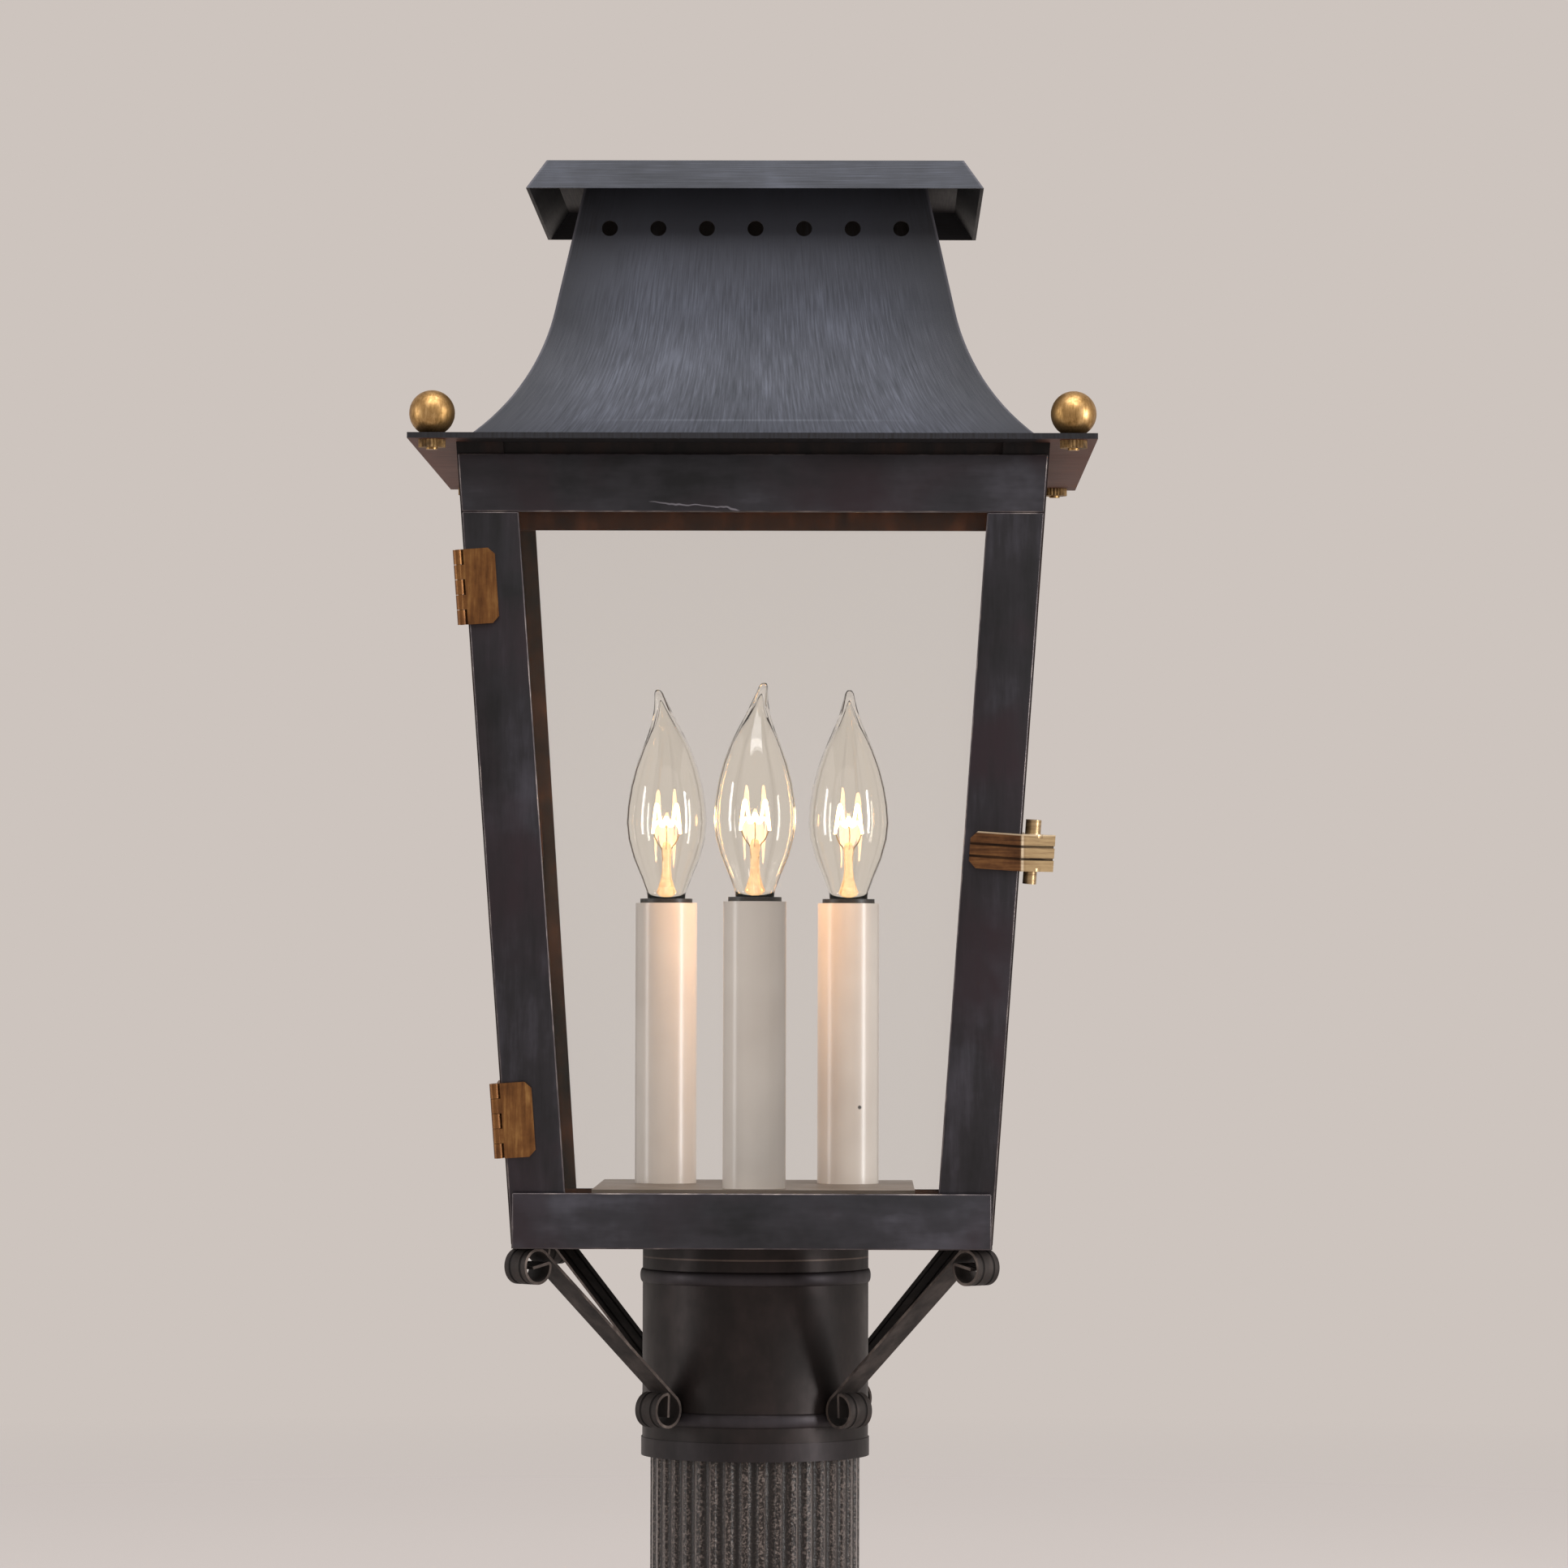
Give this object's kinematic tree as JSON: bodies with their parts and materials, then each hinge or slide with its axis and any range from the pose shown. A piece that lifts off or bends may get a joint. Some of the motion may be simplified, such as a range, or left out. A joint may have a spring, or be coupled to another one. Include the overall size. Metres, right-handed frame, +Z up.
{
  "type": "outdoor post light",
  "caption": "Tapered square lantern on a fluted post, with a hinged glazed door, flared vented hood, scroll braces and flame bulbs on candle sleeves.",
  "frame": {"origin": "centre of the post's cut lower end", "axes": "+Z up the post, -Y out through the door, +X towards the latch side"},
  "size_m": [0.24, 0.24, 0.5632],
  "materials": {
    "dark_bronze": "blackened copper patina with brushed streaks and worn edges",
    "fitter_bronze": "dark satin bronze",
    "tray_bronze": "plain bronze",
    "textured_post": "sand-textured dark bronze paint on aluminium",
    "aged_brass": "satin aged brass",
    "antique_brass": "antique brass, darkened in the grooves",
    "clear_glass": "clear float glass",
    "bulb_glass": "clear blown glass",
    "bulb_brass": "plain screw shell",
    "filament": "glass stem with a lit filament",
    "ivory_sleeve": "ivory candle cover",
    "black_phenolic": "moulded black phenolic",
    "plated_steel": "zinc plated"
  },
  "bodies": {
    "lantern": {"ball_finials": "aged_brass", "base_plate": "dark_bronze", "bottom_strip_front": "dark_bronze", "bottom_strip_left": "dark_bronze", "bottom_strip_rear": "dark_bronze", "bottom_strip_right": "dark_bronze", "brace_front_left": "dark_bronze", "brace_front_right": "dark_bronze", "brace_rear_left": "dark_bronze", "brace_rear_right": "dark_bronze", "candle_sleeve_front": "ivory_sleeve", "candle_sleeve_left": "ivory_sleeve", "candle_sleeve_right": "ivory_sleeve", "candle_tray": "tray_bronze", "cap_brackets": "dark_bronze", "corner_front_left": "dark_bronze", "corner_front_right": "dark_bronze", "corner_rear_left": "dark_bronze", "corner_rear_right": "dark_bronze", "eaves_plate": "dark_bronze", "finial_nuts": "aged_brass", "fitter_screws": "plated_steel", "fluted_post": "textured_post", "hinge_frame_leaves": "antique_brass", "hinge_pins": "antique_brass", "lamp_sockets": "black_phenolic", "lamp_stems": "plated_steel", "latch_keeper": "antique_brass", "pane_clips": "dark_bronze", "pane_left": "clear_glass", "pane_rear": "clear_glass", "pane_right": "clear_glass", "post_fitter": "fitter_bronze", "roof_hood": "dark_bronze", "set_screws": "plated_steel", "stem_nuts": "plated_steel", "top_strip_front": "dark_bronze", "top_strip_left": "dark_bronze", "top_strip_rear": "dark_bronze", "top_strip_right": "dark_bronze", "vent_cap": "dark_bronze"},
    "door": {"door_top_rail": "dark_bronze", "door_left_stile": "dark_bronze", "door_right_stile": "dark_bronze", "door_bottom_rail": "dark_bronze", "door_pane": "clear_glass", "door_clips": "dark_bronze", "hinge_door_leaves": "antique_brass", "latch_plate": "antique_brass"},
    "latch_pin": {"latch_pin": "antique_brass"},
    "bulb_front": {"bulb_glass_front": "bulb_glass", "bulb_base_front": "bulb_brass", "bulb_filament_front": "filament"},
    "bulb_left": {"bulb_glass_left": "bulb_glass", "bulb_base_left": "bulb_brass", "bulb_filament_left": "filament"},
    "bulb_right": {"bulb_glass_right": "bulb_glass", "bulb_base_right": "bulb_brass", "bulb_filament_right": "filament"}
  },
  "joints": [
    {"name": "door_hinge", "type": "hinge", "parent": "lantern", "child": "door", "pos_m": [-0.0865, -0.0858, 0.173], "axis": [0.0683, 0.0683, -0.9953], "range_deg": [0, 120]},
    {"name": "latch_pin_lift", "type": "slide", "parent": "door", "child": "latch_pin", "axis": [0.0683, -0.0683, 0.9953], "range_m": [0, 0.024]},
    {"name": "bulb_front_lift", "type": "slide", "parent": "lantern", "child": "bulb_front", "axis": [0, 0, 1], "range_m": [0, 0.022]},
    {"name": "bulb_left_lift", "type": "slide", "parent": "lantern", "child": "bulb_left", "axis": [0, 0, 1], "range_m": [0, 0.022]},
    {"name": "bulb_right_lift", "type": "slide", "parent": "lantern", "child": "bulb_right", "axis": [0, 0, 1], "range_m": [0, 0.022]}
  ]
}
